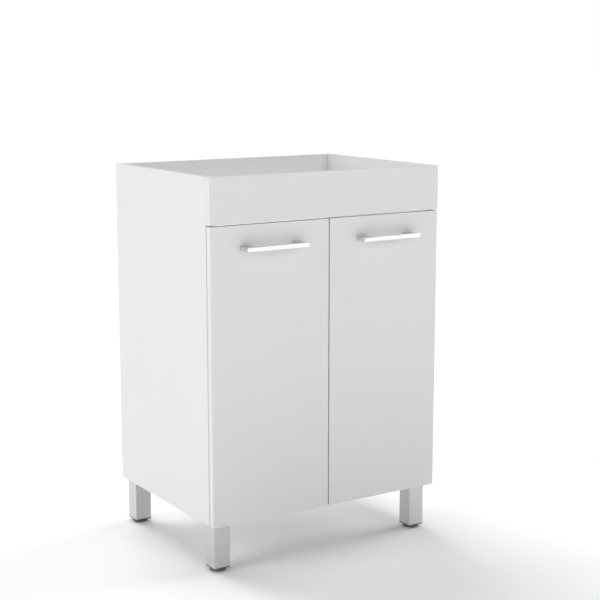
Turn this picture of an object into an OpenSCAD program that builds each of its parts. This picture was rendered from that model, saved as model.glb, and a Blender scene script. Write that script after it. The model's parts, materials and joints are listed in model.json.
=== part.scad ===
/* [Cabinet] */
// Overall width of the cabinet
body_w = 600; // [500:10:800]
// Depth from the doors' faces to the back
body_d = 450; // [400:10:500]
// Height from the floor to the open top
overall_h = 870; // [820:5:900]
// Thickness of the carcass boards
board_t = 16; // [15:0.5:19]
// Height of the fixed front apron
apron_h = 101; // [90:1:130]

/* [Doors] */
// Thickness of the doors and the apron
front_t = 16; // [16:0.5:18]
// Gap between the two doors and below the apron
front_gap = 3; // [2:0.5:4]
// How far the doors stand in from the cabinet's sides
door_inset = 1.2; // [1:0.1:2]
// Gap between the doors' backs and the carcass edges
bump_gap = 0.5; // [0.5:0.1:1]
// Height of each hinge above or below its end of the door
hinge_inset = 90; // [80:5:140]

/* [Handles] */
// Length of each bar handle
handle_len = 154; // [130:1:200]
// Height of the bar
handle_h = 9.5; // [8:0.5:12]
// Front-to-back thickness of the bar
handle_t = 8; // [6:0.5:10]
// How far the handle stands out from the door
handle_out = 32; // [28:1:38]
// Width of each end post
handle_post = 26; // [14:1:30]
// Distance from the door's top edge down to the bar's middle
handle_drop = 49.2; // [40:0.2:80]

/* [Legs] */
// Side of each square leg tube
leg_w = 40; // [30:1:50]
// Height of the carcass above the floor
leg_h = 110; // [100:5:130]
// Wall of the leg tubes
leg_wall = 1.5; // [1:0.1:2.5]
// Distance from the cabinet's side to a leg
leg_side = 13.5; // [5:0.5:30]
// Distance from the doors' faces back to the front legs
leg_front = 20; // [18:0.5:40]
// Distance from the back to the rear legs
leg_back = 3; // [0:0.5:30]
// Height of the square plug's black rim below the tube
cap_h = 3; // [2:0.5:5]
// Height of the round levelling foot
foot_h = 7; // [6:0.5:10]
// Radius of the levelling foot
foot_r = 18; // [14:0.5:19]
// How far a levelling foot unscrews
foot_travel = 15; // [5:1:15]

/* [Hidden] */
$fn = 48;

// The frame: the floor is z = 0, the doors face -Y, and the middle of the whole depth,
// handles included, is y = 0
face_y = handle_out - (body_d + handle_out) / 2;
back_y = face_y + body_d;
fronts_back_y = face_y + front_t;
carcass_y = fronts_back_y + bump_gap;
inner_x = body_w / 2 - board_t;
base_z = leg_h;
door_top = overall_h - apron_h - front_gap;
door_h = door_top - base_z;
door_w = body_w / 2 - door_inset - front_gap / 2;
handle_x = body_w / 4;
handle_z = door_top - handle_drop;
handle_hole_x = (handle_len - handle_post) / 2;
handle_screw_r = 2;
handle_screw_in = 11;
hinge_z = [base_z + hinge_inset, door_top - hinge_inset];
overlap = 0.5;

// Rails
front_rail_z = overall_h - apron_h + 8;
front_rail_h = 56;
back_top_h = 120;
back_low_h = 80;

// Apron fixing
apron_fix_x = [-200, -70, 70, 200];
apron_fix_z = front_rail_z + front_rail_h / 2;
apron_screw_r = 2;
apron_screw_reach = 11;

// Panel fittings
cam_r = 7.5;
cam_depth = 12.5;
cam_from_side = 34;
cam_bolt_r = 3;
cam_bolt_in = 11;
dowel_r = 4;
dowel_half = 12;
fit_clear = 0.05;

// Wall fixing
bracket_t = 2;
bracket_w = 27;
bracket_h = 44;
wall_hole_r = 4;
wall_hole_x = inner_x - 16;
wall_z = overall_h - 75;
bracket_screw_r = 1.9;

// Legs and feet
leg_x = body_w / 2 - leg_side - leg_w / 2;
leg_front_y = face_y + leg_front + leg_w / 2;
leg_back_y = back_y - leg_back - leg_w / 2;
tube_z = foot_h + cap_h;
plug_h = 14;
plug_w = leg_w - 2 * leg_wall - 0.2;
leg_bolt_r = 3.9;
stem_r = 3.95;
stem_top = foot_h + foot_travel + 12;

// Concealed hinges, in the plan of one hinge: x runs inward from the side panel's inner
// face, and y backward from a plane 1 mm behind the door's back. The cup sits in the door.
hinge_gap = 1;
hinge_y = fronts_back_y + hinge_gap;
cup_r = 17.5;
cup_wall = 1;
cup_depth = 12.5;
cup_tab = 4;
cup_x = door_inset - board_t + cup_tab + cup_r;
flange_t = 0.6;
flange_r = 18.6;
flange_cut = 1;
ear_x = cup_x + 9.5;
ear_z = 24;
ear_r = 7;
cup_screw_r = 1.8;
cup_screw_in = 11;
pin_r = 1.25;
cup_pin_half = 14;
eye_r = 2.6;
link_t = 2;
link_half = 5;
arm_pivot = [13.7, 2];
cup_pivot = [-2.6, -4.1];
link_route = [arm_pivot, [13.2, -7], [10.6, -10], [1.6, -10], [-1.7, -8], cup_pivot];
cheek_gap = 6;
cheek_t = 1.5;
arm_nose = 2.8;
arm_top = 19;
arm_low = 6;
arm_end = 62;
web_t = 1.6;
web_front = 8;
plate_y = 37;
plate_t = 2.5;
plate_len = 22;
plate_half = 24;
block_len = 34;
plate_hole_z = 16;
arm_screw_r = 3;

// A flat strip of one width through a list of points, with round bends
module strip(points, w) {
    for (i = [0 : len(points) - 2]) {
        step = points[i + 1] - points[i];
        translate(points[i])
            rotate(atan2(step[1], step[0]))
                translate([0, -w / 2]) square([norm(step), w]);
    }
    for (p = points) translate(p) circle(r = w / 2);
}

// Places a part of the left hinges at both heights, in the plan of one hinge
module at_hinges() {
    for (z = hinge_z) translate([-inner_x, hinge_y, z]) children();
}

// Draws its children on the left, or mirrored on the right
module on_side(side) {
    if (side < 0) children();
    else mirror([1, 0, 0]) children();
}

// Draws its children on both sides
module both_sides() {
    children();
    mirror([1, 0, 0]) children();
}

// A cylinder that starts at a point and runs along +Y, -Y or +X
module rod_back(r, h) { rotate([-90, 0, 0]) cylinder(r = r, h = h); }
module rod_front(r, h) { rotate([90, 0, 0]) cylinder(r = r, h = h); }
module rod_right(r, h) { rotate([0, 90, 0]) cylinder(r = r, h = h); }

// Where the boards meet the left side panel: [y, z] of each cam bolt and each dowel
mid = board_t / 2;
front_rail_y = fronts_back_y + mid;
back_rail_y = back_y - mid;
cam_spots = [
    [-110, base_z + mid], [150, base_z + mid],
    [front_rail_y, front_rail_z + 18],
    [back_rail_y, overall_h - back_top_h + 30],
    [back_rail_y, base_z + board_t + 25]
];
dowel_spots = [
    [-60, base_z + mid], [100, base_z + mid],
    [front_rail_y, front_rail_z + 40],
    [back_rail_y, overall_h - back_top_h + 90],
    [back_rail_y, base_z + board_t + 58]
];
cam_x = inner_x - cam_from_side;

// One cam housing's bore or body, from its board's open face inward
module cam_body(i, r) {
    y = cam_spots[i][0];
    z = cam_spots[i][1];
    if (i < 2) translate([-cam_x, y, base_z]) cylinder(r = r, h = cam_depth);
    else if (i == 2) translate([-cam_x, y + mid, z]) rod_front(r, cam_depth);
    else translate([-cam_x, y - mid, z]) rod_back(r, cam_depth);
}

// The bolts and dowels of the left side, at a given radius
module cam_bolt_bodies(r, past) {
    for (s = cam_spots) {
        translate([-inner_x - cam_bolt_in - past, s[0], s[1]])
            rod_right(r, cam_from_side + cam_bolt_in + past - cam_r + past);
    }
}
module dowel_bodies(r, half) {
    for (s = dowel_spots) translate([-inner_x - half, s[0], s[1]]) rod_right(r, 2 * half);
}

// Every bore that the fittings need in the carcass boards
module fitting_bores() {
    both_sides() {
        cam_bolt_bodies(cam_bolt_r + fit_clear, fit_clear);
        dowel_bodies(dowel_r + fit_clear, dowel_half + fit_clear);
        for (i = [0 : len(cam_spots) - 1]) cam_body(i, cam_r + fit_clear);
    }
}

// Carcass boards
module side_panel(side) {
    color("white") on_side(side) difference() {
        translate([-body_w / 2, carcass_y, base_z])
            cube([board_t, back_y - carcass_y, overall_h - base_z]);
        cam_bolt_bodies(cam_bolt_r + fit_clear, fit_clear);
        dowel_bodies(dowel_r + fit_clear, dowel_half + fit_clear);
        bracket_screw_shafts(bracket_screw_r + fit_clear, fit_clear);
        at_hinges() plate_screw_shafts(cup_screw_r + fit_clear, fit_clear);
    }
}
module side_panel_left() { side_panel(-1); }
module side_panel_right() { side_panel(1); }

module bottom_panel() {
    color("white") difference() {
        translate([-inner_x, carcass_y, base_z])
            cube([2 * inner_x, back_y - carcass_y, board_t]);
        fitting_bores();
        for (x = [-leg_x, leg_x], y = [leg_front_y, leg_back_y])
            translate([x, y, base_z - overlap])
                cylinder(r = leg_bolt_r + 0.3, h = board_t + 2 * overlap);
    }
}

module front_apron() {
    color("white") difference() {
        translate([-body_w / 2, face_y, overall_h - apron_h]) cube([body_w, front_t, apron_h]);
        for (x = apron_fix_x) translate([x, fronts_back_y + overlap, apron_fix_z])
            rod_front(apron_screw_r + fit_clear, apron_screw_reach + overlap + fit_clear);
    }
}

module front_rail() {
    color("white") difference() {
        translate([-inner_x, fronts_back_y, front_rail_z]) cube([2 * inner_x, board_t, front_rail_h]);
        fitting_bores();
        for (x = apron_fix_x) translate([x, fronts_back_y - overlap, apron_fix_z])
            rod_back(apron_screw_r + fit_clear, board_t + 2 * overlap);
    }
}

module back_rail_top() {
    color("white") difference() {
        translate([-inner_x, back_y - board_t, overall_h - back_top_h])
            cube([2 * inner_x, board_t, back_top_h]);
        fitting_bores();
        for (x = [-wall_hole_x, wall_hole_x]) translate([x, back_y - board_t - overlap, wall_z])
            rod_back(wall_hole_r, board_t + 2 * overlap);
    }
}

module back_rail_bottom() {
    color("white") difference() {
        translate([-inner_x, back_y - board_t, base_z + board_t])
            cube([2 * inner_x, board_t, back_low_h]);
        fitting_bores();
    }
}

// Screws that hold the apron, driven from behind the rail
module apron_screws() {
    head_r = 4;
    head_h = 2.5;
    color("silver") for (x = apron_fix_x) translate([x, fronts_back_y + board_t, apron_fix_z]) {
        rod_front(apron_screw_r, board_t + apron_screw_reach);
        rod_back(head_r, head_h);
    }
}

// Panel fittings
module cam_housings() {
    slot_w = 2;
    color("silver") both_sides() for (i = [0 : len(cam_spots) - 1]) difference() {
        cam_body(i, cam_r);
        if (i < 2) translate([-cam_x - 5, cam_spots[i][0] - slot_w / 2, base_z - overlap])
            cube([10, slot_w, slot_w + overlap]);
    }
}
module cam_bolts() { color("silver") both_sides() cam_bolt_bodies(cam_bolt_r, 0); }
module panel_dowels() { color("burlywood") both_sides() dowel_bodies(dowel_r, dowel_half); }

// Wall brackets in the back corners, and the screws that hold them to the side panels
module wall_brackets() {
    color("silver") both_sides() difference() {
        union() {
            translate([-inner_x, back_y - board_t - bracket_w, wall_z - bracket_h / 2])
                cube([bracket_t, bracket_w, bracket_h]);
            translate([-inner_x, back_y - board_t - bracket_t, wall_z - bracket_h / 2])
                cube([bracket_w, bracket_t, bracket_h]);
        }
        translate([-wall_hole_x, back_y - board_t - bracket_t - overlap, wall_z])
            rod_back(wall_hole_r, bracket_t + 2 * overlap);
        bracket_screw_shafts(bracket_screw_r + fit_clear, 0);
    }
}
module bracket_screw_shafts(r, past) {
    for (side = [-1, 1])
        translate([-inner_x - 12 - past, back_y - board_t - 15, wall_z + side * 13])
            rod_right(r, 12 + bracket_t + past);
}
module bracket_screws() {
    head_r = 3.5;
    head_h = 1.8;
    color("silver") both_sides() {
        bracket_screw_shafts(bracket_screw_r, 0);
        for (side = [-1, 1])
            translate([-inner_x + bracket_t, back_y - board_t - 15, wall_z + side * 13])
                rod_right(head_r, head_h);
    }
}

// Places a part at one leg: side -1 is left and 1 is right
module at_leg(side, y) { translate([side * leg_x, y, 0]) children(); }
module at_legs() {
    for (side = [-1, 1], y = [leg_front_y, leg_back_y]) at_leg(side, y) children();
}
module square_bar(w, z0, z1) { translate([-w / 2, -w / 2, z0]) cube([w, w, z1 - z0]); }

module leg_tube(side, y) {
    color("lightgray") at_leg(side, y) difference() {
        square_bar(leg_w, tube_z, base_z);
        square_bar(leg_w - 2 * leg_wall, tube_z - overlap, base_z + overlap);
    }
}
module leg_tube_fl() { leg_tube(-1, leg_front_y); }
module leg_tube_fr() { leg_tube(1, leg_front_y); }
module leg_tube_bl() { leg_tube(-1, leg_back_y); }
module leg_tube_br() { leg_tube(1, leg_back_y); }

module leg_plugs() {
    color("dimgray") at_legs() difference() {
        square_bar(plug_w, base_z - plug_h, base_z);
        translate([0, 0, base_z - plug_h - overlap])
            cylinder(r = leg_bolt_r + fit_clear, h = plug_h + 2 * overlap);
    }
}
module leg_bolts() {
    head_r = 6.5;
    head_h = 5;
    hex_r = 3.4;
    color("silver") at_legs() difference() {
        union() {
            translate([0, 0, base_z - plug_h + 2])
                cylinder(r = leg_bolt_r, h = plug_h - 2 + board_t);
            translate([0, 0, base_z + board_t]) cylinder(r = head_r, h = head_h);
        }
        translate([0, 0, base_z + board_t + 2]) cylinder(r = hex_r, h = head_h, $fn = 6);
    }
}
module leg_end_caps() {
    color("black") at_legs() difference() {
        union() {
            square_bar(leg_w, foot_h, tube_z);
            square_bar(plug_w, tube_z, tube_z + plug_h);
        }
        translate([0, 0, foot_h - overlap])
            cylinder(r = stem_r + fit_clear, h = cap_h + plug_h + 2 * overlap);
    }
}

module foot_pad(side, y) {
    rim = 1.2;
    pad_top = foot_h - 1.6;
    neck_r = 7;
    socket_z = 2;
    color("black") at_leg(side, y) difference() {
        rotate_extrude() polygon([
            [0, 0], [foot_r - rim, 0], [foot_r, rim], [foot_r, pad_top - rim],
            [foot_r - rim, pad_top], [neck_r, pad_top], [neck_r, foot_h - 0.1], [0, foot_h - 0.1]
        ]);
        translate([0, 0, socket_z]) cylinder(r = stem_r, h = foot_h);
    }
}
module foot_pad_fl() { foot_pad(-1, leg_front_y); }
module foot_pad_fr() { foot_pad(1, leg_front_y); }
module foot_pad_bl() { foot_pad(-1, leg_back_y); }
module foot_pad_br() { foot_pad(1, leg_back_y); }

module foot_stem(side, y) {
    stem_z = 2;
    color("silver") at_leg(side, y) translate([0, 0, stem_z])
        cylinder(r = stem_r, h = stem_top - stem_z);
}
module foot_stem_fl() { foot_stem(-1, leg_front_y); }
module foot_stem_fr() { foot_stem(1, leg_front_y); }
module foot_stem_bl() { foot_stem(-1, leg_back_y); }
module foot_stem_br() { foot_stem(1, leg_back_y); }

// Doors
module door(side) {
    color("white") on_side(side) difference() {
        translate([-body_w / 2 + door_inset, face_y, base_z]) cube([door_w, front_t, door_h]);
        at_hinges() {
            translate([cup_x, 0, 0]) rod_front(cup_r + fit_clear, hinge_gap + cup_depth + fit_clear);
            cup_screw_shafts(cup_screw_r + fit_clear, fit_clear);
        }
        for (x = [-handle_hole_x, handle_hole_x])
            translate([-handle_x + x, face_y - overlap, handle_z])
                rod_back(handle_screw_r + 0.3, front_t + 2 * overlap);
    }
}
module door_left() { door(-1); }
module door_right() { door(1); }

module door_bumpers(side) {
    pad_r = 4;
    pad_t = bump_gap - 0.1;
    low_pad = [front_gap / 2 + 14, base_z + board_t / 2];
    high_pad = [inner_x + board_t / 2, door_top - 14];
    color("gainsboro") on_side(side) for (p = [low_pad, high_pad])
        translate([-p[0], fronts_back_y, p[1]]) rod_back(pad_r, pad_t);
}
module door_bumpers_left() { door_bumpers(-1); }
module door_bumpers_right() { door_bumpers(1); }

// Bar handles: a square bar in front of two end posts, drilled from behind
module handle(side) {
    color("gainsboro") on_side(side) translate([-handle_x, face_y - handle_out, handle_z - handle_h / 2])
        difference() {
            union() {
                translate([-handle_len / 2, 0, 0]) cube([handle_len, handle_t, handle_h]);
                for (x = [-handle_hole_x, handle_hole_x])
                    translate([x - handle_post / 2, 0, 0]) cube([handle_post, handle_out, handle_h]);
            }
            for (x = [-handle_hole_x, handle_hole_x])
                translate([x, handle_out + overlap, handle_h / 2])
                    rod_front(handle_screw_r + fit_clear, handle_screw_in + overlap);
        }
}
module handle_left() { handle(-1); }
module handle_right() { handle(1); }

module handle_screws(side) {
    head_r = 4;
    head_h = 2.2;
    color("silver") on_side(side) for (x = [-handle_hole_x, handle_hole_x])
        translate([-handle_x + x, fronts_back_y, handle_z]) {
            rod_front(handle_screw_r, front_t + handle_screw_in - 1);
            rod_back(head_r, head_h);
        }
}
module handle_screws_left() { handle_screws(-1); }
module handle_screws_right() { handle_screws(1); }

// Hinges: the cup and its flange sit in the door
module hinge_cups(side) {
    color("silver") on_side(side) at_hinges() difference() {
        union() {
            translate([cup_x, -hinge_gap, 0]) rod_front(cup_r, cup_depth);
            translate([0, flange_t - hinge_gap, 0]) rotate([90, 0, 0]) linear_extrude(flange_t)
                intersection() {
                    union() {
                        translate([cup_x, 0]) circle(r = flange_r);
                        for (z = [-ear_z, ear_z]) translate([ear_x, z]) circle(r = ear_r);
                        translate([ear_x - ear_r, -ear_z]) square([2 * ear_r, 2 * ear_z]);
                    }
                    translate([flange_cut, -2 * ear_z]) square([4 * ear_z, 4 * ear_z]);
                }
        }
        translate([cup_x, overlap, 0])
            rod_front(cup_r - cup_wall, overlap + hinge_gap + cup_depth - cup_wall);
        translate([cup_pivot[0], cup_pivot[1], -cup_r]) cylinder(r = pin_r, h = 2 * cup_r);
        cup_screw_shafts(cup_screw_r + fit_clear, 0);
    }
}
module hinge_cups_left() { hinge_cups(-1); }
module hinge_cups_right() { hinge_cups(1); }

module cup_screw_shafts(r, past) {
    for (z = [-ear_z, ear_z]) translate([ear_x, flange_t - hinge_gap, z])
        rod_front(r, flange_t + cup_screw_in + past);
}
module cup_screws(side) {
    head_r = 3.4;
    head_h = 1.5;
    color("silver") on_side(side) at_hinges() {
        cup_screw_shafts(cup_screw_r, 0);
        for (z = [-ear_z, ear_z]) translate([ear_x, flange_t - hinge_gap, z]) rod_back(head_r, head_h);
    }
}
module cup_screws_left() { cup_screws(-1); }
module cup_screws_right() { cup_screws(1); }

module pin_at(p, half) { translate([p[0], p[1], -half]) cylinder(r = pin_r, h = 2 * half); }
module cup_pins(side) { color("gray") on_side(side) at_hinges() pin_at(cup_pivot, cup_pin_half); }
module cup_pins_left() { cup_pins(-1); }
module cup_pins_right() { cup_pins(1); }

// The cranked link turns on the arm's pin and carries the cup's pin round the panel's edge
module hinge_links(side) {
    color("silver") on_side(side) at_hinges()
        translate([0, 0, -link_half]) linear_extrude(2 * link_half) difference() {
            union() {
                strip(link_route, link_t);
                for (p = [arm_pivot, cup_pivot]) translate(p) circle(r = eye_r);
            }
            for (p = [arm_pivot, cup_pivot]) translate(p) circle(r = pin_r + fit_clear);
        }
}
module hinge_links_left() { hinge_links(-1); }
module hinge_links_right() { hinge_links(1); }

// The arm is a channel: two cheeks that hold the pin, and a web that lies on the plate's block
module hinge_arms(side) {
    color("silver") on_side(side) at_hinges() difference() {
        union() {
            for (z = [cheek_gap, -cheek_gap - cheek_t]) translate([0, 0, z])
                linear_extrude(cheek_t) {
                    translate(arm_pivot) circle(r = arm_nose);
                    polygon([
                        [arm_pivot[0] - arm_nose, arm_pivot[1]], [arm_pivot[0] + arm_nose, arm_pivot[1]],
                        [arm_top, web_front], [arm_top, arm_end], [arm_low, arm_end], [arm_low, 16]
                    ]);
                }
            translate([arm_top - web_t, web_front, -cheek_gap - cheek_t])
                cube([web_t, arm_end - web_front, 2 * (cheek_gap + cheek_t)]);
        }
        pin_at(arm_pivot, cup_r);
        translate([arm_top - web_t - overlap, plate_y, 0])
            rod_right(arm_screw_r + fit_clear, web_t + 2 * overlap);
    }
}
module hinge_arms_left() { hinge_arms(-1); }
module hinge_arms_right() { hinge_arms(1); }

module arm_pins(side) {
    color("gray") on_side(side) at_hinges() pin_at(arm_pivot, cheek_gap + cheek_t + 0.4);
}
module arm_pins_left() { arm_pins(-1); }
module arm_pins_right() { arm_pins(1); }

module hinge_plates(side) {
    block_half = cheek_gap - 0.3;
    color("silver") on_side(side) at_hinges() difference() {
        union() {
            translate([0, plate_y - plate_len / 2, -plate_half])
                cube([plate_t, plate_len, 2 * plate_half]);
            translate([0, plate_y - block_len / 2, -block_half])
                cube([arm_top - web_t, block_len, 2 * block_half]);
        }
        translate([arm_top - web_t - 9, plate_y, 0]) rod_right(arm_screw_r + fit_clear, 9 + overlap);
        plate_screw_shafts(cup_screw_r + fit_clear, 0);
    }
}
module hinge_plates_left() { hinge_plates(-1); }
module hinge_plates_right() { hinge_plates(1); }

module plate_screw_shafts(r, past) {
    for (z = [-plate_hole_z, plate_hole_z]) translate([-11 - past, plate_y, z])
        rod_right(r, 11 + plate_t + past);
}
module plate_screws(side) {
    head_r = 3.6;
    head_h = 1.6;
    arm_head_r = 5;
    arm_head_h = 2;
    color("silver") on_side(side) at_hinges() {
        plate_screw_shafts(cup_screw_r, 0);
        for (z = [-plate_hole_z, plate_hole_z])
            translate([plate_t, plate_y, z]) rod_right(head_r, head_h);
        translate([arm_top - web_t - 8, plate_y, 0]) rod_right(arm_screw_r, 8 + web_t);
        translate([arm_top, plate_y, 0]) rod_right(arm_head_r, arm_head_h);
    }
}
module plate_screws_left() { plate_screws(-1); }
module plate_screws_right() { plate_screws(1); }

side_panel_left();
side_panel_right();
bottom_panel();
front_apron();
front_rail();
back_rail_top();
back_rail_bottom();
apron_screws();
cam_housings();
cam_bolts();
panel_dowels();
wall_brackets();
bracket_screws();
leg_tube_fl();
leg_tube_fr();
leg_tube_bl();
leg_tube_br();
leg_plugs();
leg_bolts();
leg_end_caps();
foot_pad_fl();
foot_pad_fr();
foot_pad_bl();
foot_pad_br();
foot_stem_fl();
foot_stem_fr();
foot_stem_bl();
foot_stem_br();
door_left();
door_right();
door_bumpers_left();
door_bumpers_right();
handle_left();
handle_right();
handle_screws_left();
handle_screws_right();
hinge_cups_left();
hinge_cups_right();
cup_screws_left();
cup_screws_right();
cup_pins_left();
cup_pins_right();
hinge_links_left();
hinge_links_right();
hinge_arms_left();
hinge_arms_right();
arm_pins_left();
arm_pins_right();
hinge_plates_left();
hinge_plates_right();
plate_screws_left();
plate_screws_right();
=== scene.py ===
import bpy
import bmesh
import json
import math
from mathutils import Matrix, Vector


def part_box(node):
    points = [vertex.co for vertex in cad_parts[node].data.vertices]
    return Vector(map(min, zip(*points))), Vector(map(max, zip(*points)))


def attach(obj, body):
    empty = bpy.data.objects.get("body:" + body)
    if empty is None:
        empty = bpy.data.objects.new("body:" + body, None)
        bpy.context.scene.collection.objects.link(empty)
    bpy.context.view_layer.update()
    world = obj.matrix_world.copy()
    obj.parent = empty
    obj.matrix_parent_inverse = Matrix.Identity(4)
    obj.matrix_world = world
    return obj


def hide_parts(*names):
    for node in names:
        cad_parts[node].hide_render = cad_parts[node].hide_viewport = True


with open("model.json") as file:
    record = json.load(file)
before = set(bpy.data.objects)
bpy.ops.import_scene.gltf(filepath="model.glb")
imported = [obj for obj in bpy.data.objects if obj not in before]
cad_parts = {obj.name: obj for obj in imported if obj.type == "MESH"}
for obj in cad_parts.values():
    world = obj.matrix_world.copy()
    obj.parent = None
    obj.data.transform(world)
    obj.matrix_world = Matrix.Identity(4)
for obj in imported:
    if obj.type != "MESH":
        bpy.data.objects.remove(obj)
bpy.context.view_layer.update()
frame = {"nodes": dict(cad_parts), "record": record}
mm = 0.001
weld = 1e-6  # corners closer than this are one corner


# nodes written as expressions

class Sock:
    # wraps one output socket, so that arithmetic on it adds Math nodes
    def __init__(self, tree, socket):
        self.tree = tree
        self.socket = socket

    def math(self, operation, *values):
        return self.tree.node("ShaderNodeMath", {"operation": operation}, dict(enumerate(values))).out(0)

    def __add__(self, other):
        return self.math("ADD", self, other)

    __radd__ = __add__

    def __mul__(self, other):
        return self.math("MULTIPLY", self, other)

    __rmul__ = __mul__

    def __sub__(self, other):
        return self.math("SUBTRACT", self, other)

    def __rsub__(self, other):
        return self.math("SUBTRACT", other, self)

    def __truediv__(self, other):
        return self.math("DIVIDE", self, other)

    def __pow__(self, other):
        return self.math("POWER", self, other)


class Made:
    # one node that has been added, with its outputs by name or number
    def __init__(self, tree, node):
        self.tree = tree
        self.node = node

    def out(self, key=0):
        return Sock(self.tree, self.node.outputs[key])


class Tree:
    # adds nodes to a shader or geometry tree: settings first, then socket values or links
    def __init__(self, nodeTree):
        self.nodeTree = nodeTree

    def node(self, kind, settings=None, inputs=None):
        made = self.nodeTree.nodes.new(kind)
        for key, value in (settings or {}).items():
            if key == "stops":
                self.setStops(made.color_ramp, value)
            else:
                setattr(made, key, value)
        for key, value in (inputs or {}).items():
            self.feed(made.inputs[key], value)
        return Made(self, made)

    def feed(self, socket, value):
        if isinstance(value, (list, tuple)) and value and isinstance(value[0], Sock):
            for one in value:
                self.nodeTree.links.new(one.socket, socket)
        elif isinstance(value, Sock):
            self.nodeTree.links.new(value.socket, socket)
        else:
            socket.default_value = value

    def setStops(self, ramp, stops):
        while len(ramp.elements) < len(stops):
            ramp.elements.new(0.5)
        for element, (place, colour) in zip(ramp.elements, stops):
            element.position = place
            element.color = colour


# materials

def grey(value, tint=(1.0, 1.0, 1.0)):
    return (value * tint[0], value * tint[1], value * tint[2], 1.0)


def startMaterial(name):
    material = bpy.data.materials.new(name)
    material.use_nodes = True
    material.node_tree.nodes.clear()
    tree = Tree(material.node_tree)
    place = tree.node("ShaderNodeTexCoord").out("Object")
    return material, tree, place


def noise(tree, place, scale, detail=3.0, roughness=0.5, stretch=None):
    if stretch:
        place = tree.node("ShaderNodeMapping", None, {"Vector": place, "Scale": stretch}).out("Vector")
    return tree.node("ShaderNodeTexNoise", None, {
        "Vector": place, "Scale": scale, "Detail": detail, "Roughness": roughness}).out("Fac")


def mixColour(tree, mask, first, second):
    mixed = tree.node("ShaderNodeMix", {"data_type": "RGBA"}, {0: mask, 6: first, 7: second})
    return mixed.out(2)


def bump(tree, height, strength, distance):
    return tree.node("ShaderNodeBump", None, {
        "Height": height, "Strength": strength, "Distance": distance}).out("Normal")


def closeMaterial(material, tree, sockets):
    shader = tree.node("ShaderNodeBsdfPrincipled", None, sockets)
    tree.node("ShaderNodeOutputMaterial", None, {"Surface": shader.out("BSDF")})
    return material


melamineLook = {"light": 0.745, "dark": 0.725, "rough": 0.36, "roughSpread": 0.10,
                "peelScale": 420.0, "peelHeight": 0.00006, "tint": (1.0, 1.0, 1.0)}


def makeMelamine(name, look):
    # white melamine foil: an even coat with a faint press texture and slightly uneven gloss
    material, tree, place = startMaterial(name)
    cloud = noise(tree, place, 5.0, 4.0)
    peel = noise(tree, place, look["peelScale"], 2.0, 0.6)
    smear = noise(tree, place, 16.0, 5.0, 0.6, (1.0, 1.0, 0.4))
    colour = mixColour(tree, cloud, grey(look["dark"], look["tint"]), grey(look["light"], look["tint"]))
    return closeMaterial(material, tree, {
        "Base Color": colour,
        "Roughness": smear * look["roughSpread"] + (look["rough"] - look["roughSpread"] / 2),
        "Specular IOR Level": 0.45,
        "Normal": bump(tree, peel, 0.35, look["peelHeight"])})


def makeChipboard():
    # the pressed chips seen in the bores
    material, tree, place = startMaterial("chipboardCore")
    chips = tree.node("ShaderNodeTexVoronoi", {"feature": "F1"}, {"Vector": place, "Scale": 700.0})
    shade = noise(tree, place, 260.0, 4.0)
    colour = mixColour(tree, shade, (0.36, 0.24, 0.13, 1.0), (0.62, 0.47, 0.30, 1.0))
    return closeMaterial(material, tree, {
        "Base Color": colour, "Roughness": shade * 0.2 + 0.7,
        "Normal": bump(tree, chips.out("Distance"), 0.6, 0.0004)})


chromeLook = {"colour": (0.71, 0.71, 0.715, 1.0), "dull": (0.66, 0.66, 0.665, 1.0),
              "rough": 0.03, "smudge": 0.04}


def makeChrome():
    # polished plating: mirror-like, with faint finger smudges in its gloss
    material, tree, place = startMaterial("polishedChrome")
    smudge = noise(tree, place, 38.0, 4.0, 0.65) ** 2.0
    wave = noise(tree, place, 90.0, 1.0)
    return closeMaterial(material, tree, {
        "Base Color": mixColour(tree, smudge, chromeLook["colour"], chromeLook["dull"]),
        "Metallic": 1.0,
        "Roughness": smudge * chromeLook["smudge"] + chromeLook["rough"],
        "Normal": bump(tree, wave, 0.1, 0.00005)})


aluminiumLook = {"light": (0.69, 0.69, 0.687, 1.0), "dark": (0.60, 0.60, 0.598, 1.0),
                 "rough": 0.50, "lineScale": 900.0}


def makeAluminium():
    # satin anodised tube: fine draw lines that run up the leg
    material, tree, place = startMaterial("brushedAluminium")
    lines = noise(tree, place, aluminiumLook["lineScale"], 3.0, 0.7, (1.0, 1.0, 0.012))
    broad = noise(tree, place, 45.0, 3.0, 0.5, (1.0, 1.0, 0.15))
    return closeMaterial(material, tree, {
        "Base Color": mixColour(tree, lines, aluminiumLook["dark"], aluminiumLook["light"]),
        "Metallic": 1.0,
        "Roughness": lines * 0.12 + broad * 0.08 + (aluminiumLook["rough"] - 0.1),
        "Normal": bump(tree, lines, 0.25, 0.00006)})


def makePlatedSteel(name, colour, rough):
    # stamped and plated sheet: slightly blotchy gloss with fine tumbling marks
    material, tree, place = startMaterial(name)
    blotch = noise(tree, place, 130.0, 4.0, 0.6)
    marks = noise(tree, place, 1500.0, 2.0, 0.6)
    dull = tuple(part * 0.86 for part in colour[:3]) + (1.0,)
    return closeMaterial(material, tree, {
        "Base Color": mixColour(tree, blotch, dull, colour),
        "Metallic": 1.0,
        "Roughness": blotch * 0.16 + marks * 0.06 + (rough - 0.1),
        "Normal": bump(tree, marks, 0.2, 0.00004)})


def makePlastic(name, dark, light, rough, grainScale, grainHeight):
    # moulded plastic with a spark-eroded grain
    material, tree, place = startMaterial(name)
    grain = noise(tree, place, grainScale, 3.0, 0.65)
    cloud = noise(tree, place, 60.0, 3.0)
    return closeMaterial(material, tree, {
        "Base Color": mixColour(tree, cloud, dark, light),
        "Roughness": grain * 0.14 + (rough - 0.07),
        "Normal": bump(tree, grain, 0.5, grainHeight)})


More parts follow.
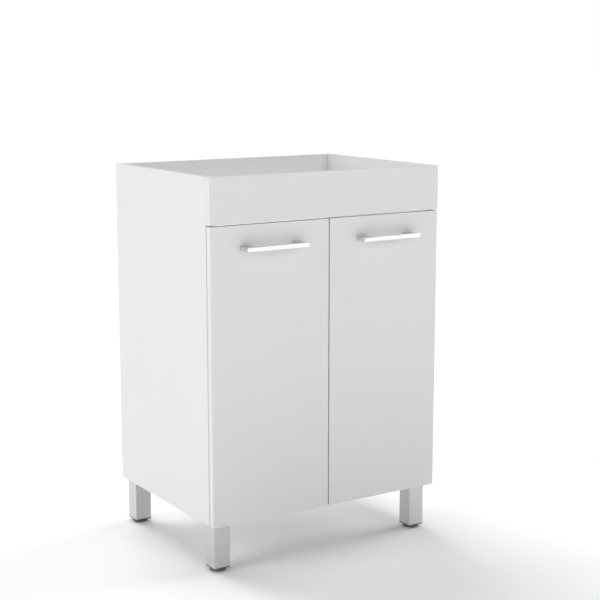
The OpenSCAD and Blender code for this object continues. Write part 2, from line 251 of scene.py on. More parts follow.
def makeBeech():
    # raw beech: pores and rays stretched along the dowel
    material, tree, place = startMaterial("rawBeech")
    pores = noise(tree, place, 900.0, 4.0, 0.7, (0.08, 1.0, 1.0))
    colour = mixColour(tree, pores, (0.46, 0.29, 0.16, 1.0), (0.70, 0.50, 0.31, 1.0))
    return closeMaterial(material, tree, {
        "Base Color": colour, "Roughness": pores * 0.15 + 0.55,
        "Normal": bump(tree, pores, 0.4, 0.0001)})


whiteFoil = makeMelamine("whiteFoil", melamineLook)
# a lighter, faintly blue copy of the white foil for the boards inside the box: painted light and a painted
# bluish reflection that stand in for light reaching the inside
paintedLightInnerFoil = makeMelamine("paintedLightInnerFoil", dict(melamineLook, light=0.85, dark=0.83, rough=0.42,
                                           tint=(0.995, 0.99, 1.0)))
chipboard = makeChipboard()
chrome = makeChrome()
aluminium = makeAluminium()
nickel = makePlatedSteel("nickelPlate", (0.70, 0.69, 0.67, 1.0), 0.28)
zinc = makePlatedSteel("brightZinc", (0.66, 0.68, 0.70, 1.0), 0.36)
blackPlastic = makePlastic("blackPlastic", (0.110, 0.110, 0.111, 1.0), (0.145, 0.145, 0.146, 1.0),
                           0.46, 1300.0, 0.00008)
greyPlastic = makePlastic("bumperPlastic", (0.62, 0.62, 0.60, 1.0), (0.72, 0.72, 0.70, 1.0),
                          0.40, 900.0, 0.00004)
beech = makeBeech()
print("materials made")


# mesh helpers

def addPiece(name, mesh, body, nodes, materials):
    # links a finished mesh and says what it rides on and stands for
    for material in materials:
        mesh.materials.append(material)
    piece = bpy.data.objects.new(name, mesh)
    bpy.context.scene.collection.objects.link(piece)
    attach(piece, body)
    if nodes:
        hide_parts(*nodes)
    return piece


def fromBmesh(name, shape):
    mesh = bpy.data.meshes.new(name)
    bmesh.ops.recalc_face_normals(shape, faces=shape.faces)
    shape.to_mesh(mesh)
    shape.free()
    return mesh


def roundEdges(shape, edges, radius, steps=3):
    # rounds edges and smooths only the new strips, so flat faces stay flat
    made = bmesh.ops.bevel(shape, geom=list(edges), offset=radius, segments=steps, profile=0.5,
                           affect="EDGES", clamp_overlap=True)
    for face in made["faces"]:
        face.smooth = True


# how sharply two faces meet, in degrees, before an edge counts as hard
edgeAngles = {"outline": 30.0, "turned": 35.0, "tubeRim": 60.0, "flat": 1.5}


def sharpEdges(shape, angle=edgeAngles["outline"]):
    return [edge for edge in shape.edges
            if len(edge.link_faces) == 2 and edge.calc_face_angle(0.0) > math.radians(angle)]


def boxShape(low, high):
    shape = bmesh.new()
    bmesh.ops.create_cube(shape, size=1.0)
    low, high = Vector(low), Vector(high)
    for vertex in shape.verts:
        vertex.co = Vector(low[i] + (vertex.co[i] + 0.5) * (high[i] - low[i]) for i in range(3))
    return shape


def lathe(profile, steps, centre, axis="Z"):
    # turns [radius, height] points round an axis and closes both poles
    shape = bmesh.new()
    rings = []
    for radius, height in profile:
        ring = []
        for i in range(steps if radius > 0 else 1):
            turn = 2 * math.pi * i / steps
            ring.append(shape.verts.new((radius * math.cos(turn), radius * math.sin(turn), height)))
        rings.append(ring)
    for lower, upper in zip(rings, rings[1:]):
        for i in range(steps):
            j = (i + 1) % steps
            corners = [lower[i % len(lower)], lower[j % len(lower)], upper[j % len(upper)],
                       upper[i % len(upper)]]
            corners = list(dict.fromkeys(corners))
            if len(corners) > 2:
                shape.faces.new(corners)
    for face in shape.faces:
        face.smooth = True
    for edge in sharpEdges(shape, edgeAngles["turned"]):
        edge.smooth = False
    turnTo = {"Z": Matrix.Identity(3), "Y": Matrix.Rotation(math.radians(-90), 3, "X")}[axis]
    for vertex in shape.verts:
        vertex.co = turnTo @ vertex.co + Vector(centre)
    return shape


def join(shapes):
    whole = shapes[0]
    for other in shapes[1:]:
        spare = bpy.data.meshes.new("spare")
        other.to_mesh(spare)
        other.free()
        whole.from_mesh(spare)
        bpy.data.meshes.remove(spare)
    return whole


def evaluated(thing):
    graph = bpy.context.evaluated_depsgraph_get()
    return bpy.data.meshes.new_from_object(thing.evaluated_get(graph))


def carve(mesh, cutters, crossing=False):
    # takes closed cutters, which may cross each other, out of a mesh
    scene = bpy.context.scene
    blank = bpy.data.objects.new("blank", mesh)
    scene.collection.objects.link(blank)
    tool = bpy.data.objects.new("tool", fromBmesh("tool", join(cutters)))
    scene.collection.objects.link(tool)
    cut = blank.modifiers.new("carve", "BOOLEAN")
    cut.object = tool
    cut.operation = "DIFFERENCE"
    cut.solver = "EXACT"
    cut.use_self = crossing
    result = evaluated(blank)
    bpy.data.objects.remove(blank)
    bpy.data.objects.remove(tool)
    return result


def nodeCopy(node, radius, steps=2):
    # a CAD node's solids, merged, with their hard edges broken by a small round
    shape = bmesh.new()
    shape.from_mesh(frame["nodes"][node].data)
    bmesh.ops.remove_doubles(shape, verts=shape.verts, dist=weld)
    bmesh.ops.dissolve_limit(shape, angle_limit=math.radians(edgeAngles["flat"]), verts=shape.verts,
                             edges=shape.edges)
    mesh = bpy.data.meshes.new(node)
    shape.to_mesh(mesh)
    shape.free()
    scene = bpy.context.scene
    blank = bpy.data.objects.new("blank", mesh)
    scene.collection.objects.link(blank)
    for polygon in mesh.polygons:
        polygon.use_smooth = True
    soften = blank.modifiers.new("soften", "BEVEL")
    soften.limit_method = "ANGLE"
    soften.angle_limit = math.radians(edgeAngles["turned"])
    soften.width = radius
    soften.segments = steps
    soften.use_clamp_overlap = False
    even = blank.modifiers.new("even", "WEIGHTED_NORMAL")
    even.weight = 100
    result = evaluated(blank)
    bpy.data.objects.remove(blank)
    return result


def solidsOf(node):
    # low and high corners of each separate solid in a node
    shape = bmesh.new()
    shape.from_mesh(frame["nodes"][node].data)
    bmesh.ops.remove_doubles(shape, verts=shape.verts, dist=weld)
    shape.verts.ensure_lookup_table()
    seen, boxes = set(), []
    for start in shape.verts:
        if start.index in seen:
            continue
        group, stack = [], [start]
        seen.add(start.index)
        while stack:
            vertex = stack.pop()
            group.append(vertex.co.copy())
            for edge in vertex.link_edges:
                other = edge.other_vert(vertex)
                if other.index not in seen:
                    seen.add(other.index)
                    stack.append(other)
        boxes.append((Vector(min(co[i] for co in group) for i in range(3)),
                      Vector(max(co[i] for co in group) for i in range(3))))
    shape.free()
    return sorted(boxes, key=lambda pair: tuple(round(part, 5) for part in pair[0]))


# boards

boardDims = {"round": 0.4 * mm, "steps": 3, "cupRadius": 17.55 * mm, "cupDepth": 12.55 * mm,
             "wallHoleRadius": 4.0 * mm, "camRadius": 7.5 * mm, "camSlack": 0.05 * mm,
             "skin": 0.05 * mm, "overrun": 2.0 * mm, "cupOverrun": 5.0 * mm, "camSteps": 48}


def boardMesh(name, node, bores=()):
    low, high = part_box(node)
    shape = boxShape(low, high)
    roundEdges(shape, shape.edges, boardDims["round"], boardDims["steps"])
    mesh = fromBmesh(name, shape)
    if bores:
        mesh = carve(mesh, bores)
        inner = boardDims["skin"]
        for polygon in mesh.polygons:
            inside = all(low[i] + inner < polygon.center[i] < high[i] - inner for i in range(3))
            edgeBand = min(min(polygon.center[i] - low[i], high[i] - polygon.center[i])
                           for i in range(3)) < boardDims["round"]
            if inside and not edgeBand:
                polygon.material_index = 1
    return mesh


def bore(x, y, z, radius, depth, steps=64):
    # a cutter that runs along +Y from y
    return lathe([(0, 0), (radius, 0), (radius, depth), (0, depth)], steps, (x, y, z), "Y")


def wallBores():
    low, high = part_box("back_rail_top")
    pattern = next(mount for mount in frame["record"]["mounts"] if mount["name"] == "wall_fixings")
    half = pattern["dims"]["spacing_x_mm"] * mm / 2
    height = pattern["pos_m"][2]
    return [bore(side * half, low[1] - mm, height, boardDims["wallHoleRadius"], high[1] - low[1] + 2 * mm)
            for side in (-1, 1)]


def camBores(node):
    # the bores that hold this board's cam housings, open on the side that the housing shows
    low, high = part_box(node)
    cutters = []
    for camLow, camHigh in camPlaces():
        middle = (camLow + camHigh) / 2
        if not all(low[i] < middle[i] < high[i] for i in range(3)):
            continue
        axis, openLow = camAim(camLow, camHigh, low)
        start = camLow[axis] - (boardDims["overrun"] if openLow else boardDims["camSlack"])
        end = camHigh[axis] + (boardDims["camSlack"] if openLow else boardDims["overrun"])
        middle[axis] = start
        radius = boardDims["camRadius"] + boardDims["camSlack"]
        cutters.append(lathe([(0, 0), (radius, 0), (radius, end - start), (0, end - start)],
                             boardDims["camSteps"], middle, "YZ"[axis - 1]))
    return cutters


def camPlaces():
    return solidsOf("cam_housings")


def camAim(camLow, camHigh, boardLow):
    # a housing is shorter along its own axis, and shows at the board's lower or upper face
    size = camHigh - camLow
    axis = min(range(3), key=lambda i: size[i])
    return axis, abs(camLow[axis] - boardLow[axis]) < 0.2 * mm


# from a cup's centre to the node's box, sideways and along the flange's ears
cupDims = {"reach": 17.5 * mm, "earReach": 31.0 * mm}


def cupPlaces(side):
    # centres of one door's two hinge cups, from the cup node's box
    low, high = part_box("hinge_cups_" + side)
    cupReach, earReach = cupDims["reach"], cupDims["earReach"]
    x = low[0] + cupReach if side == "left" else high[0] - cupReach
    return [(x, low[2] + earReach), (x, high[2] - earReach)]


def makeBoards():
    # the inside boards take the lighter foil copy, whose extra brightness and blue are painted light
    boards = {"side_panel_left": whiteFoil, "side_panel_right": whiteFoil, "bottom_panel": paintedLightInnerFoil,
              "front_rail": paintedLightInnerFoil, "back_rail_top": paintedLightInnerFoil, "back_rail_bottom": paintedLightInnerFoil,
              "front_apron": whiteFoil}
    for node, foil in boards.items():
        bores = [] if node in ("side_panel_left", "side_panel_right", "front_apron") else camBores(node)
        if node == "back_rail_top":
            bores += wallBores()
        mesh = boardMesh(node + "_board", node, bores)
        addPiece(node + "_board", mesh, "carcass", [node], [foil, chipboard])
    for side in ("left", "right"):
        node = "door_" + side
        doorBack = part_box(node)[1][1]
        bores = [bore(x, doorBack - boardDims["cupDepth"], z, boardDims["cupRadius"],
                      boardDims["cupDepth"] + boardDims["cupOverrun"]) for x, z in cupPlaces(side)]
        mesh = boardMesh(node + "_board", node, bores)
        addPiece(node + "_board", mesh, node, [node], [whiteFoil, chipboard])


makeBoards()
print("boards made")


# handles

handleDims = {"round": 0.45 * mm, "steps": 3, "bar": 8.0 * mm, "post": 26.0 * mm}


def makeHandle(side):
    # one bent outline, seen from above, extruded to the bar's height
    node = "handle_" + side
    low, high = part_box(node)
    post, bar = handleDims["post"], handleDims["bar"]
    outline = [(low[0], low[1]), (high[0], low[1]), (high[0], high[1]), (high[0] - post, high[1]),
               (high[0] - post, low[1] + bar), (low[0] + post, low[1] + bar), (low[0] + post, high[1]),
               (low[0], high[1])]
    shape = bmesh.new()
    face = shape.faces.new([shape.verts.new((x, y, low[2])) for x, y in outline])
    grown = bmesh.ops.extrude_face_region(shape, geom=[face])
    for item in grown["geom"]:
        if isinstance(item, bmesh.types.BMVert):
            item.co.z = high[2]
    roundEdges(shape, sharpEdges(shape), handleDims["round"], handleDims["steps"])
    addPiece(node + "_bar", fromBmesh(node, shape), "door_" + side, [node], [chrome])


for handleSide in ("left", "right"):
    makeHandle(handleSide)
print("handles made")


# legs and feet

legDims = {"corner": 1.2 * mm, "wall": 1.5 * mm, "capRound": 0.6 * mm, "plugSlack": 0.1 * mm}
legNames = ("fl", "fr", "bl", "br")


def squareLoop(centre, half, corner, z, steps=5):
    points = []
    for quarter in range(4):
        for i in range(steps + 1):
            turn = math.radians(90 * quarter + 90 * i / steps)
            signX = 1 if quarter in (0, 3) else -1
            signY = 1 if quarter in (0, 1) else -1
            points.append((centre[0] + signX * (half - corner) + corner * math.cos(turn),
                           centre[1] + signY * (half - corner) + corner * math.sin(turn), z))
    return points


def tubeShape(low, high, corner, wall):
    # a square tube with rounded corners, open at both ends
    centre = ((low[0] + high[0]) / 2, (low[1] + high[1]) / 2)
    half = (high[0] - low[0]) / 2
    shape = bmesh.new()
    loops = []
    for reach, radius, z in ((half, corner, low[2]), (half, corner, high[2]),
                             (half - wall, corner / 2, high[2]), (half - wall, corner / 2, low[2])):
        loops.append([shape.verts.new(point) for point in squareLoop(centre, reach, radius, z)])
    count = len(loops[0])
    for k in range(4):
        first, second = loops[k], loops[(k + 1) % 4]
        for i in range(count):
            j = (i + 1) % count
            shape.faces.new((first[i], first[j], second[j], second[i]))
    shape.normal_update()
    for face in shape.faces:
        cornerFace = max(abs(face.normal.x), abs(face.normal.y)) < 0.999
        face.smooth = cornerFace and abs(face.normal.z) < 0.5
    for edge in sharpEdges(shape, edgeAngles["tubeRim"]):
        edge.smooth = False
    return shape


def plateShape(low, high, corner, edge):
    # a square plate with rounded corners and softened rims
    centre = ((low[0] + high[0]) / 2, (low[1] + high[1]) / 2)
    half = (high[0] - low[0]) / 2
    shape = bmesh.new()
    lower = shape.faces.new([shape.verts.new(p) for p in squareLoop(centre, half, corner, low[2])])
    grown = bmesh.ops.extrude_face_region(shape, geom=[lower])
    for item in grown["geom"]:
        if isinstance(item, bmesh.types.BMVert):
            item.co.z = high[2]
    rims = [e for e in shape.edges if abs(e.verts[0].co.z - e.verts[1].co.z) < 1e-7]
    roundEdges(shape, rims, edge, 2)
    return shape


def makeLegs():
    capLow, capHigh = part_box("leg_end_caps")
    caps = []
    for name in legNames:
        node = "leg_tube_" + name
        low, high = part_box(node)
        tube = fromBmesh(node, tubeShape(low, high, legDims["corner"], legDims["wall"]))
        addPiece(node + "_square", tube, "carcass", [node], [aluminium])
        caps.append(plateShape(Vector((low[0], low[1], capLow[2])), Vector((high[0], high[1], low[2])),
                               legDims["corner"], legDims["capRound"]))
        inset = legDims["wall"] + legDims["plugSlack"]
        caps.append(plateShape(Vector((low[0] + inset, low[1] + inset, low[2])),
                               Vector((high[0] - inset, high[1] - inset, capHigh[2])),
                               legDims["corner"] / 2, legDims["capRound"] / 2))
    addPiece("leg_end_caps_moulded", fromBmesh("caps", join(caps)), "carcass",
             ["leg_end_caps"], [blackPlastic])
    for node in ("leg_plugs", "leg_bolts"):
        frame["nodes"][node].data.materials.clear()
        frame["nodes"][node].data.materials.append(blackPlastic if node == "leg_plugs" else zinc)


# in mm: the disc, the hollow under it, the dish on its top, and the hexagon
padDims = {"radius": 18.0, "rim": 1.4, "height": 5.4, "steps": 72, "rimSteps": 6,
           "soleDepth": 0.8, "soleIn": 4.0, "soleOut": 3.4, "dishOut": 10.5, "dishIn": 9.8,
           "dishDepth": 0.5, "nutRadius": 6.9, "nutTop": 6.9, "nutRound": 0.5, "nutSlope": 0.8}


def makeFoot(name):
    # a low moulded disc with a rounded rim, and a hexagon above it that has no CAD node
    node = "foot_pad_" + name
    low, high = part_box(node)
    centre = ((low[0] + high[0]) / 2, (low[1] + high[1]) / 2, low[2])
    radius, rim, height = padDims["radius"], padDims["rim"], padDims["height"]
    sole, steps = padDims["soleDepth"], padDims["rimSteps"]
    dish = height - padDims["dishDepth"]
    profile = [(0, sole), (radius - padDims["soleIn"], sole), (radius - padDims["soleOut"], 0)]
    for level, start in ((rim, -90), (height - rim, 0)):
        for i in range(steps + 1):
            turn = math.radians(start + 90 * i / steps)
            profile.append((radius - rim + rim * math.cos(turn), level + rim * math.sin(turn)))
    profile += [(padDims["dishOut"], height), (padDims["dishIn"], dish), (0, dish)]
    pad = lathe([(r * mm, z * mm) for r, z in profile], padDims["steps"], centre)
    addPiece(node + "_disc", fromBmesh(node, pad), "foot_" + name, [node],
             [blackPlastic])
    nutRadius, nutTop = padDims["nutRadius"], padDims["nutTop"]
    nut = lathe([(0, dish), (nutRadius, dish), (nutRadius, nutTop - padDims["nutRound"]),
                 (nutRadius - padDims["nutSlope"], nutTop), (0, nutTop)], 6, (0, 0, 0))
    for vertex in nut.verts:
        vertex.co = Vector(centre) + vertex.co * mm
    for face in nut.faces:
        face.smooth = False
    addPiece("foot_nut_" + name, fromBmesh("nut", nut), "foot_" + name, [], [zinc])


makeLegs()
for footName in legNames:
    makeFoot(footName)
print("legs and feet made")


# threads and fasteners, made with Geometry Nodes

def newGeometryTree(name, inputs):
    # a geometry tree with named float, vector, object or material inputs
    nodeTree = bpy.data.node_groups.new(name, "GeometryNodeTree")
    nodeTree.interface.new_socket("Geometry", in_out="INPUT", socket_type="NodeSocketGeometry")
    for label, kind in inputs.items():
        nodeTree.interface.new_socket(label, in_out="INPUT", socket_type="NodeSocket" + kind)
    nodeTree.interface.new_socket("Geometry", in_out="OUTPUT", socket_type="NodeSocketGeometry")
    tree = Tree(nodeTree)
    given = tree.node("NodeGroupInput")
    return nodeTree, tree, given


def finishTree(tree, geometry, material):
    real = tree.node("GeometryNodeRealizeInstances", None, {0: geometry}).out()
    coated = tree.node("GeometryNodeSetMaterial", None, {"Geometry": real, "Material": material}).out()
    tree.node("NodeGroupOutput", None, {0: coated})


def runTree(nodeTree, name, mesh, values):
    # evaluates the tree on a mesh and gives back a plain mesh
    thing = bpy.data.objects.new(name, mesh)
    bpy.context.scene.collection.objects.link(thing)
    modifier = thing.modifiers.new(name, "NODES")
    modifier.node_group = nodeTree
    for item in nodeTree.interface.items_tree:
        if item.in_out == "INPUT" and item.name in values:
            modifier[item.identifier] = values[item.name]
    result = evaluated(thing)
    bpy.data.objects.remove(thing)
    return result


def buildThreadTree():
    # a metric thread: a core rod, and a ridge swept along a helix round it
    nodeTree, tree, given = newGeometryTree("levellingThread", {
        "Major Radius": "Float", "Pitch": "Float", "Length": "Float", "Base": "Vector",
        "Metal": "Material"})
    major, pitch, length = given.out("Major Radius"), given.out("Pitch"), given.out("Length")
    depth = pitch * 0.55
    turns = length / pitch
    helix = tree.node("GeometryNodeCurveSpiral", None, {
        "Resolution": 28, "Rotations": turns, "Start Radius": major - depth * 0.5,
        "End Radius": major - depth * 0.5, "Height": length, "Reverse": False}).out("Curve")
    ridge = tree.node("GeometryNodeCurvePrimitiveCircle", {"mode": "RADIUS"}, {
        "Resolution": 4, "Radius": depth * 0.5}).out("Curve")
    sweep = tree.node("GeometryNodeCurveToMesh", None, {
        "Curve": helix, "Profile Curve": ridge, "Fill Caps": True}).out("Mesh")
    core = tree.node("GeometryNodeMeshCylinder", {"fill_type": "NGON"}, {
        "Vertices": 40, "Radius": major - depth * 0.55, "Depth": length}).out("Mesh")
    lift = tree.node("ShaderNodeCombineXYZ", None, {"Z": length * 0.5}).out("Vector")
    raised = tree.node("GeometryNodeTransform", None, {"Geometry": core, "Translation": lift}).out()
    both = tree.node("GeometryNodeJoinGeometry", None, {0: [raised, sweep]}).out()
    placed = tree.node("GeometryNodeTransform", None, {
        "Geometry": both, "Translation": given.out("Base")}).out()
    finishTree(tree, placed, given.out("Metal"))
    return nodeTree


stemDims = {"pitch": 1.25 * mm, "margin": 0.3 * mm}


def makeStems():
    threadTree = buildThreadTree()
    for name in legNames:
        node = "foot_stem_" + name
        low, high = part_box(node)
        centre = (low + high) / 2
        mesh = runTree(threadTree, node, bpy.data.meshes.new(node), {
            "Major Radius": (high[0] - low[0]) / 2 - 0.02 * mm, "Pitch": stemDims["pitch"],
            "Length": high[2] - low[2] - 2 * stemDims["margin"],
            "Base": (centre[0], centre[1], low[2] + stemDims["margin"]), "Metal": zinc})
        addPiece(node + "_thread", mesh, "foot_" + name, [node], [])


makeStems()


# shares of the head's height, its radius and the recess's width
screwShape = {"rim": 0.62, "crownTop": 0.82, "blade": 0.26, "slotLift": 1.05}


def buildScrewTree():
    # a pan-head screw with a cross recess, put on every point and turned to the point's aim
    nodeTree, tree, given = newGeometryTree("crossHeadScrews", {
        "Head Radius": "Float", "Head Height": "Float", "Shank Radius": "Float",
        "Shank Length": "Float", "Recess": "Float", "Metal": "Material"})
    headRadius, headHeight = given.out("Head Radius"), given.out("Head Height")
    head = tree.node("GeometryNodeMeshCylinder", {"fill_type": "NGON"}, {
        "Vertices": 36, "Radius": headRadius, "Depth": headHeight * screwShape["rim"]}).out("Mesh")
    headLift = tree.node("ShaderNodeCombineXYZ", None, {"Z": headHeight * (screwShape["rim"] / 2)})
    head = tree.node("GeometryNodeTransform", None, {
        "Geometry": head, "Translation": headLift.out("Vector")}).out()
    crown = tree.node("GeometryNodeMeshCone", {"fill_type": "NGON"}, {
        "Vertices": 36, "Radius Top": headRadius * screwShape["crownTop"], "Radius Bottom": headRadius,
        "Depth": headHeight * (1 - screwShape["rim"])}).out("Mesh")
    crownLift = tree.node("ShaderNodeCombineXYZ", None, {"Z": headHeight * screwShape["rim"]})
    crown = tree.node("GeometryNodeTransform", None, {
        "Geometry": crown, "Translation": crownLift.out("Vector")}).out()
    shank = tree.node("GeometryNodeMeshCylinder", {"fill_type": "NGON"}, {
        "Vertices": 24, "Radius": given.out("Shank Radius"),
        "Depth": given.out("Shank Length")}).out("Mesh")
    drop = tree.node("ShaderNodeCombineXYZ", None, {"Z": given.out("Shank Length") * -0.5 + 0.0001})
    shank = tree.node("GeometryNodeTransform", None, {
        "Geometry": shank, "Translation": drop.out("Vector")}).out()
    solid = tree.node("GeometryNodeMeshBoolean", {"operation": "UNION", "solver": "EXACT"}, {
        "Mesh": [head, crown, shank]}).out("Mesh")
    arm, blade = given.out("Recess"), given.out("Recess") * screwShape["blade"]
    slots = []
    for first, second in ((arm, blade), (blade, arm)):
        size = tree.node("ShaderNodeCombineXYZ", None, {"X": first, "Y": second, "Z": headHeight})
        slot = tree.node("GeometryNodeMeshCube", None, {"Size": size.out("Vector")}).out("Mesh")
        slotLift = tree.node("ShaderNodeCombineXYZ", None, {"Z": headHeight * screwShape["slotLift"]})
        slots.append(tree.node("GeometryNodeTransform", None, {
            "Geometry": slot, "Translation": slotLift.out("Vector")}).out())
    screw = tree.node("GeometryNodeMeshBoolean", {"operation": "DIFFERENCE", "solver": "EXACT"}, {
        "Mesh 1": solid, "Mesh 2": slots}).out("Mesh")
    aim = tree.node("GeometryNodeInputNamedAttribute", {"data_type": "FLOAT_VECTOR"}, {
        "Name": "aim"}).out("Attribute")
    turned = tree.node("FunctionNodeAlignRotationToVector", {"axis": "Z"}, {"Vector": aim}).out("Rotation")
    placed = tree.node("GeometryNodeInstanceOnPoints", None, {
        "Points": given.out("Geometry"), "Instance": screw, "Rotation": turned}).out("Instances")
    finishTree(tree, placed, given.out("Metal"))
    return nodeTree


def pointMesh(name, points, aims):
    mesh = bpy.data.meshes.new(name)
    mesh.from_pydata([tuple(point) for point in points], [], [])
    attribute = mesh.attributes.new("aim", "FLOAT_VECTOR", "POINT")
    for i, aim in enumerate(aims):
        attribute.data[i].vector = aim
    return mesh


# each group's head height and recess width in mm, and the axis and way that its heads face;
# way 0 means towards the middle of the cabinet
screwDims = {
    "handle_screws_left": {"body": "door_left", "head": 2.2, "recess": 4.6, "axis": 1, "way": 1},
    "handle_screws_right": {"body": "door_right", "head": 2.2, "recess": 4.6, "axis": 1, "way": 1},
    "cup_screws_left": {"body": "door_left", "head": 1.5, "recess": 3.6, "axis": 1, "way": 1},
    "cup_screws_right": {"body": "door_right", "head": 1.5, "recess": 3.6, "axis": 1, "way": 1},
    "plate_screws_left": {"body": "carcass", "head": 1.6, "recess": 3.8, "axis": 0, "way": 1},
    "plate_screws_right": {"body": "carcass", "head": 1.6, "recess": 3.8, "axis": 0, "way": -1},
    "bracket_screws": {"body": "carcass", "head": 1.8, "recess": 3.8, "axis": 0, "way": 0},
    "apron_screws": {"body": "carcass", "head": 2.5, "recess": 4.6, "axis": 1, "way": 1},
}
wideScrew = {"from": 9.0, "head": 2.0, "shank": 3.0}  # the larger screws on the hinge arms, in mm
shankRadii = {"handle_screws": 2.0, "cup_screws": 1.8, "plate_screws": 1.8, "bracket_screws": 1.9,
              "apron_screws": 2.0}


def makeScrews():
    screwTree = buildScrewTree()
    for node, dims in screwDims.items():
        family = node.replace("_left", "").replace("_right", "")
        groups = {}
        for low, high in solidsOf(node):
            axis = dims["axis"]
            way = dims["way"] or (1 if low[0] < 0 else -1)
            wide = high[(axis + 1) % 3] - low[(axis + 1) % 3]
            groups.setdefault(round(wide / mm, 1), []).append((low, high, axis, way))
        meshes = []
        for wide, screws in groups.items():
            isWide = wide > wideScrew["from"]
            headHeight = (wideScrew["head"] if isWide else dims["head"]) * mm
            shank = (wideScrew["shank"] if isWide else shankRadii[family]) * mm
            points, aims = [], []
            for low, high, axis, way in screws:
                point = (low + high) / 2
                point[axis] = high[axis] - headHeight if way > 0 else low[axis] + headHeight
                aim = [0.0, 0.0, 0.0]
                aim[axis] = float(way)
                points.append(point)
                aims.append(aim)
            length = screws[0][1][screws[0][2]] - screws[0][0][screws[0][2]] - headHeight
            meshes.append(runTree(screwTree, node, pointMesh(node, points, aims), {
                "Head Radius": wide * mm / 2, "Head Height": headHeight, "Shank Radius": shank,
                "Shank Length": length, "Recess": dims["recess"] * mm, "Metal": zinc}))
        whole = bmesh.new()
        for mesh in meshes:
            whole.from_mesh(mesh)
        joined = bpy.data.meshes.new(node)
        whole.to_mesh(joined)
        whole.free()
        addPiece(node + "_cross", joined, dims["body"], [node], [zinc])


makeScrews()
print("threads and screws made")


# hinges and small fittings

fittingDims = {
    "hinge_cups": (0.12 * mm, nickel), "cup_pins": (0.15 * mm, zinc), "hinge_links": (0.2 * mm, nickel),
    "hinge_arms": (0.2 * mm, nickel), "arm_pins": (0.15 * mm, zinc), "hinge_plates": (0.35 * mm, nickel),
}
fittingBodies = {"hinge_cups": "door_", "cup_pins": "door_", "hinge_links": "links_"}


def makeFittings():
    for family, (radius, metal) in fittingDims.items():
        for side in ("left", "right"):
            node = family + "_" + side
            body = fittingBodies[family] + side if family in fittingBodies else "carcass"
            addPiece(node + "_pressed", nodeCopy(node, radius), body, [node], [metal])
    addPiece("wall_brackets_bent", nodeCopy("wall_brackets", 0.4 * mm), "carcass",
             ["wall_brackets"], [zinc])
    for side in ("left", "right"):
        node = "door_bumpers_" + side
        addPiece(node + "_soft", nodeCopy(node, 0.25 * mm), "door_" + side, [node],
                 [greyPlastic])
    plain = {"cam_bolts": zinc, "panel_dowels": beech}
    for node, material in plain.items():
        frame["nodes"][node].data.materials.clear()
        frame["nodes"][node].data.materials.append(material)


camDims = {"radius": 7.5 * mm, "rim": 0.4 * mm, "crossLength": 9.0 * mm, "crossWidth": 1.7 * mm,
           "crossDepth": 2.0 * mm, "steps": 48,
           "boards": ("bottom_panel", "front_rail", "back_rail_top", "back_rail_bottom")}


def makeCams():
    # cast cam housings, each with a cross slot in the face that shows
    radius, rim = camDims["radius"], camDims["rim"]
    boards = [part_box(node) for node in camDims["boards"]]
    bodies, slots = [], []
    for low, high in camPlaces():
        middle = (low + high) / 2
        boardLow = next(first for first, last in boards
                        if all(first[i] < middle[i] < last[i] for i in range(3)))
        axis, openLow = camAim(low, high, boardLow)
        depth = high[axis] - low[axis]
        start = middle.copy()
        start[axis] = low[axis]
        profile = [(0, 0), (radius - rim, 0), (radius, rim), (radius, depth - rim), (radius - rim, depth),
                   (0, depth)]
        bodies.append(lathe(profile, camDims["steps"], start, "YZ"[axis - 1]))
        face = low[axis] if openLow else high[axis]
        across = [i for i in range(3) if i != axis]
        for long, short in (across, across[::-1]):
            half = Vector((0, 0, 0))
            half[long] = camDims["crossLength"] / 2
            half[short] = camDims["crossWidth"] / 2
            half[axis] = camDims["crossDepth"]
            centre = middle.copy()
            centre[axis] = face
            slots.append(boxShape(centre - half, centre + half))
    mesh = carve(fromBmesh("cams", join(bodies)), slots, crossing=True)
    addPiece("cam_housings_cast", mesh, "carcass", ["cam_housings"], [zinc])


makeFittings()
makeCams()
print("hinges and fittings made")


# floor, light and camera

# the floor's whiteness, and the patch of it in front of the doors that gives off light, in metres
# from the middle of the cabinet; the patch came from the same solve as the lights below
floorLook = {"base": 0.92, "box": 0.34, "boxStart": (0.80, 1.15), "boxEnd": (4.7, 5.6)}


def softStep(tree, value, low, high):
    return tree.node("ShaderNodeMapRange", {"interpolation_type": "SMOOTHSTEP"}, {
        "Value": value, "From Min": low, "From Max": high}).out()


def makeFloor():
    shape = bmesh.new()
    reach = 60.0
    corners = [(-reach, -reach), (reach, -reach), (reach, reach), (-reach, reach)]
    shape.faces.new([shape.verts.new((x, y, 0)) for x, y in corners])
    mesh = fromBmesh("floor", shape)
    material, tree, place = startMaterial("paleFloor")
    shade = noise(tree, place, 0.8, 2.0)
    ahead = tree.node("ShaderNodeSeparateXYZ", None, {0: place}).out("Y") * -1.0
    glow = softStep(tree, ahead, *floorLook["boxStart"]) - softStep(tree, ahead, *floorLook["boxEnd"])
    diffuse = tree.node("ShaderNodeBsdfPrincipled", None, {
        "Base Color": mixColour(tree, shade, grey(floorLook["base"]), grey(floorLook["base"] + 0.01)),
        "Roughness": 0.9, "Specular IOR Level": 0.0,
        "Emission Color": mixColour(tree, glow, grey(0.0), grey(1.0)),
        "Emission Strength": floorLook["box"]})
    tree.node("ShaderNodeOutputMaterial", None, {"Surface": diffuse.out("BSDF")})
    mesh.materials.append(material)
    floor = bpy.data.objects.new("floor", mesh)
    bpy.context.scene.collection.objects.link(floor)


makeFloor()

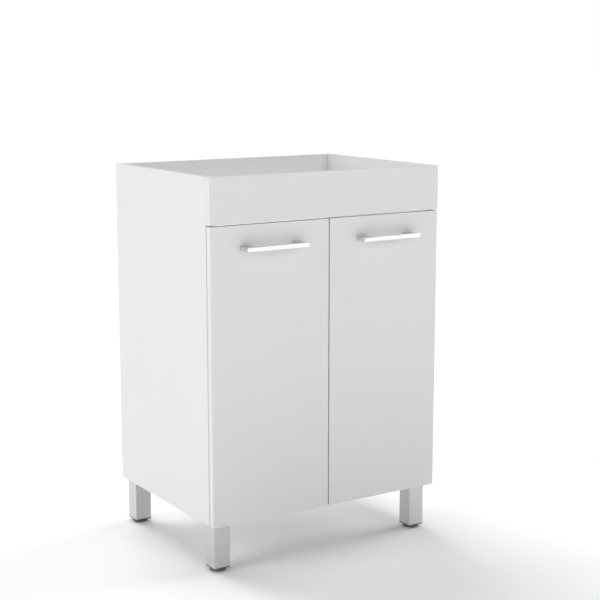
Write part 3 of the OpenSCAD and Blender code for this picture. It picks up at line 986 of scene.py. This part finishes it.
# where each soft light stands, as (azimuth from +X, height in degrees), and how much it gives;
# these were solved by least squares in another program, rounded, and some changed by hand
studioLook = {"sky": 0.03, "softness": 40.0, "lights": {
    "leftSide": (180, 22, 0.39), "rightSide": (0, 22, 0.40), "front": (270, 22, 0.272),
    "backLeft": (112, 22, 0.36), "backHigh": (90, 52, 0.52), "rightHigh": (0, 67, 0.21)}}


def makeWorld():
    # a dim even sky, drawn plain white where the camera sees it
    world = bpy.data.worlds.new("studio")
    bpy.context.scene.world = world
    world.use_nodes = True
    world.node_tree.nodes.clear()
    tree = Tree(world.node_tree)
    soft = tree.node("ShaderNodeBackground", None, {
        "Color": grey(1.0), "Strength": studioLook["sky"]})
    white = tree.node("ShaderNodeBackground", None, {"Color": grey(1.0), "Strength": 1.0})
    eye = tree.node("ShaderNodeLightPath").out("Is Camera Ray")
    mixed = tree.node("ShaderNodeMixShader", None, {0: eye, 1: soft.out(), 2: white.out()})
    tree.node("ShaderNodeOutputWorld", None, {"Surface": mixed.out()})


def makeLights():
    for name, (azimuth, height, share) in studioLook["lights"].items():
        lamp = bpy.data.lights.new(name, "SUN")
        lamp.energy = share * math.pi
        lamp.angle = math.radians(studioLook["softness"])
        around, up = math.radians(azimuth), math.radians(height)
        towards = Vector((math.cos(around) * math.cos(up), math.sin(around) * math.cos(up), math.sin(up)))
        holder = bpy.data.objects.new(name, lamp)
        holder.rotation_euler = towards.to_track_quat("Z", "Y").to_euler()
        bpy.context.scene.collection.objects.link(holder)


makeWorld()
makeLights()

cameraDims = {"azimuth": -32.615, "elevation": 10.102, "lens": 83.10,
              "beside": -1682.9 * mm, "before": 2510.1 * mm, "above": 252.8 * mm}


def makeCamera():
    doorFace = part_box("door_left")[0][1]
    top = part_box("side_panel_left")[1][2]
    camera = bpy.data.cameras.new("view")
    camera.lens = cameraDims["lens"]
    camera.sensor_width = 36.0
    camera.clip_end = 200.0
    holder = bpy.data.objects.new("view", camera)
    holder.location = (cameraDims["beside"], doorFace - cameraDims["before"], top + cameraDims["above"])
    holder.rotation_euler = (math.radians(90 - cameraDims["elevation"]), 0,
                             math.radians(cameraDims["azimuth"]))
    bpy.context.scene.collection.objects.link(holder)
    bpy.context.scene.camera = holder


makeCamera()
bpy.context.scene.view_settings.view_transform = "Standard"
print("floor, light and camera made")
